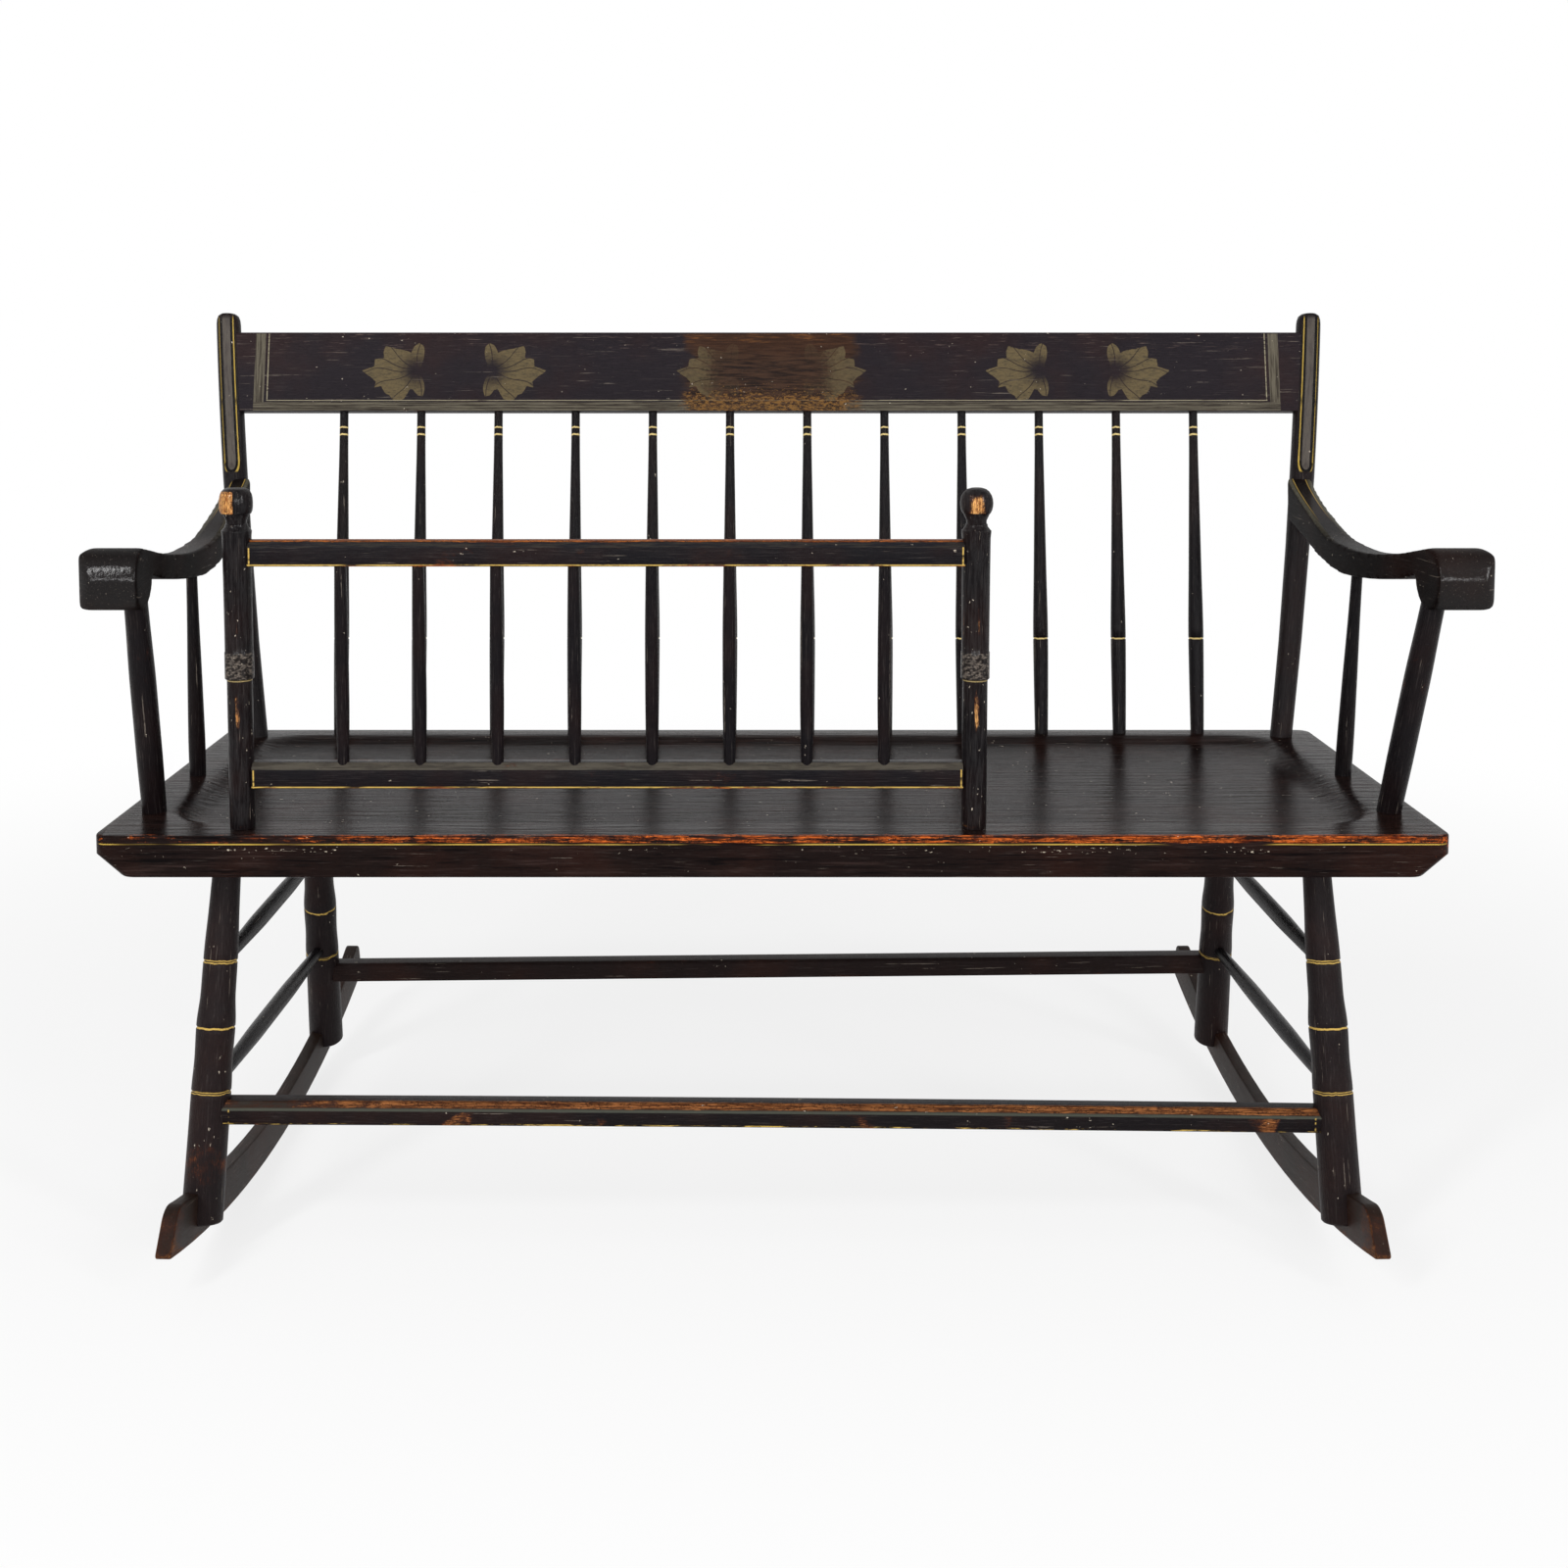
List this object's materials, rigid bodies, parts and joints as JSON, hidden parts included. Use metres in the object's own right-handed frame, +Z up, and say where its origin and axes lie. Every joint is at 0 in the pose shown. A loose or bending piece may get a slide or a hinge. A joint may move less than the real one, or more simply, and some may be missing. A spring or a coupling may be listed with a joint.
{
  "type": "rocking bench",
  "caption": "Painted wooden rocking bench with a spindle back, scrolled arms, rockers under turned legs, and a lift-out cradle guard along part of the seat's front edge.",
  "frame": {"origin": "middle of the bench's footprint, on the floor that the rockers stand on", "axes": "+X to the right as seen from in front, along the seat's length; +Y from the front to the back; +Z up"},
  "size_m": [1.337, 0.734, 0.9039],
  "materials": {
    "painted_seat": "aged near-black brown paint, satin to semi-gloss, worn to bare wood along the front edge",
    "stencilled_crest": "aged black paint with bronze-powder stencilling, satin",
    "black_paint": "aged black paint over a red-brown ground, satin, with thin yellow lines",
    "worn_paint": "aged black paint, worn to orange-brown wood on its edges, satin",
    "peg_wood": "bare hardwood pegs, darkened"
  },
  "bodies": {
    "bench": {"seat_plank": "painted_seat", "crest_rail": "stencilled_crest", "back_post_left": "black_paint", "back_post_right": "black_paint", "back_spindle_01": "black_paint", "back_spindle_02": "black_paint", "back_spindle_03": "black_paint", "back_spindle_04": "black_paint", "back_spindle_05": "black_paint", "back_spindle_06": "black_paint", "back_spindle_07": "black_paint", "back_spindle_08": "black_paint", "back_spindle_09": "black_paint", "back_spindle_10": "black_paint", "back_spindle_11": "black_paint", "back_spindle_12": "black_paint", "arm_left": "black_paint", "arm_right": "black_paint", "arm_support_left": "black_paint", "arm_support_right": "black_paint", "arm_spindle_left": "black_paint", "arm_spindle_right": "black_paint", "leg_front_left": "black_paint", "leg_front_right": "black_paint", "leg_rear_left": "black_paint", "leg_rear_right": "black_paint", "side_stretcher_upper_left": "black_paint", "side_stretcher_upper_right": "black_paint", "side_stretcher_lower_left": "black_paint", "side_stretcher_lower_right": "black_paint", "rocker_left": "worn_paint", "rocker_right": "worn_paint", "front_stretcher": "worn_paint", "rear_stretcher": "worn_paint", "rocker_pin_front_left": "peg_wood", "rocker_pin_front_right": "peg_wood", "rocker_pin_rear_left": "peg_wood", "rocker_pin_rear_right": "peg_wood", "crest_pin_left": "peg_wood", "crest_pin_right": "peg_wood", "arm_dowel_left": "peg_wood", "arm_dowel_right": "peg_wood"},
    "guard": {"guard_post_left": "black_paint", "guard_post_right": "black_paint", "guard_rail_bottom": "black_paint", "guard_rail_top": "black_paint", "guard_spindle_1": "black_paint", "guard_spindle_2": "black_paint", "guard_spindle_3": "black_paint", "guard_spindle_4": "black_paint", "guard_spindle_5": "black_paint", "guard_spindle_6": "black_paint", "guard_spindle_7": "black_paint", "guard_spindle_8": "black_paint"}
  },
  "joints": [
    {"name": "guard_lift", "type": "slide", "parent": "bench", "child": "guard", "axis": [0, 0, 1], "range_m": [0, 0.06]}
  ]
}
